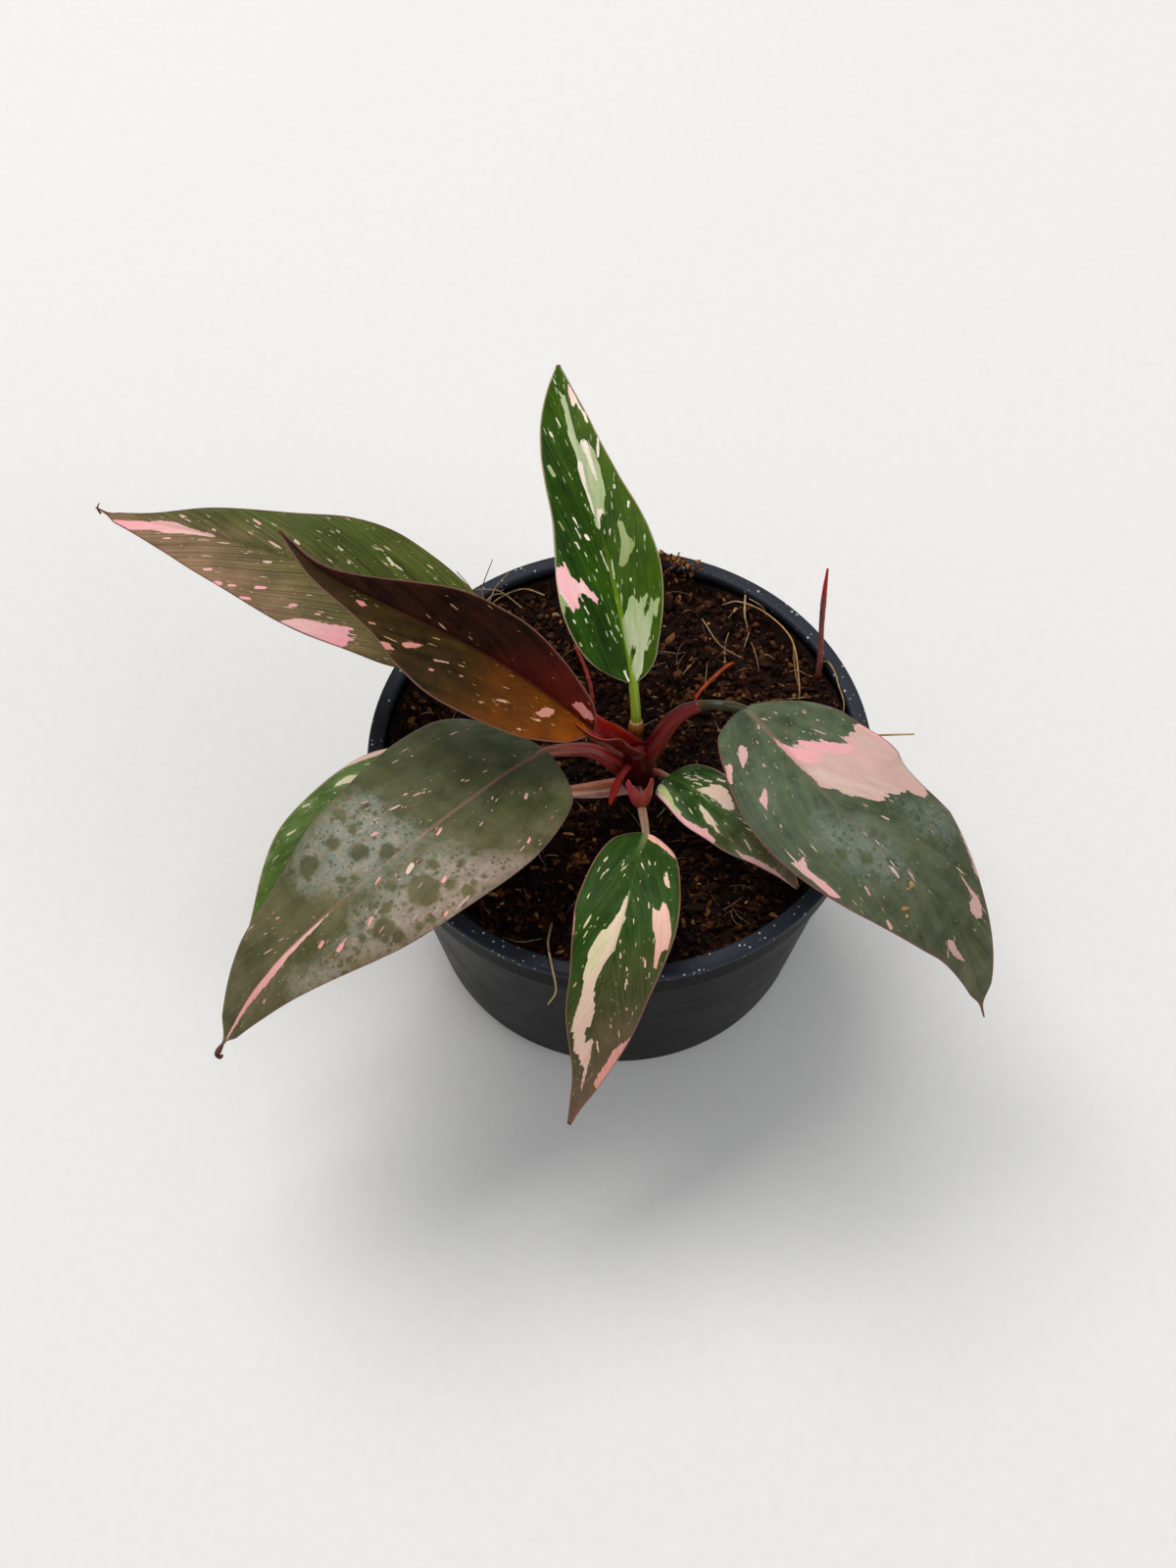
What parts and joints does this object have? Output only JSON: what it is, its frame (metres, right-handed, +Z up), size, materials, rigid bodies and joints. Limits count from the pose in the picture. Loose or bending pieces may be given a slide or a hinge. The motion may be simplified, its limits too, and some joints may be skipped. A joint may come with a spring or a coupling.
{
  "type": "pink princess philodendron in a nursery pot",
  "caption": "Young potted philodendron with arching pointed leaves marbled green, cream and pink, red stalks and fine roots, in a round tapered plastic pot.",
  "frame": {"origin": "centre of the pot's flat underside", "axes": "+Z up; -Y towards the front, where the smallest drooping leaf hangs over the rim"},
  "size_m": [0.2211, 0.1757, 0.1446],
  "materials": {
    "pot_plastic": "satin moulded black polypropylene",
    "soil": "moist bark and coir potting mix",
    "stem": "smooth red living stem",
    "scale": "thin red papery leaf scale",
    "root": "dry fibrous root",
    "leaf_back": "satin waxy leaf, marbled green, cream and pink",
    "leaf_left_back": "satin waxy leaf, marbled green, cream and pink",
    "leaf_newest": "glossy young red-brown leaf",
    "leaf_left_front": "satin waxy leaf, marbled green, cream and pink",
    "leaf_left_under": "satin waxy leaf, marbled green, cream and pink",
    "leaf_front": "satin waxy leaf, marbled green, cream and pink",
    "leaf_right_small": "satin waxy leaf, marbled green, cream and pink",
    "leaf_right": "satin waxy leaf, marbled green, cream and pink"
  },
  "bodies": {
    "root": {"pot": "pot_plastic", "soil": "soil", "stem": "stem", "scale_cup": "scale", "scale_spike": "scale", "root_shoot": "root", "root_right": "root", "root_left": "root", "root_back": "root", "root_over_front": "root", "root_over_right": "root", "leaf_back": "leaf_back", "leaf_left_back": "leaf_left_back", "leaf_newest": "leaf_newest", "leaf_left_front": "leaf_left_front", "leaf_left_under": "leaf_left_under", "leaf_front": "leaf_front", "leaf_right_small": "leaf_right_small", "leaf_right": "leaf_right"}
  },
  "joints": []
}
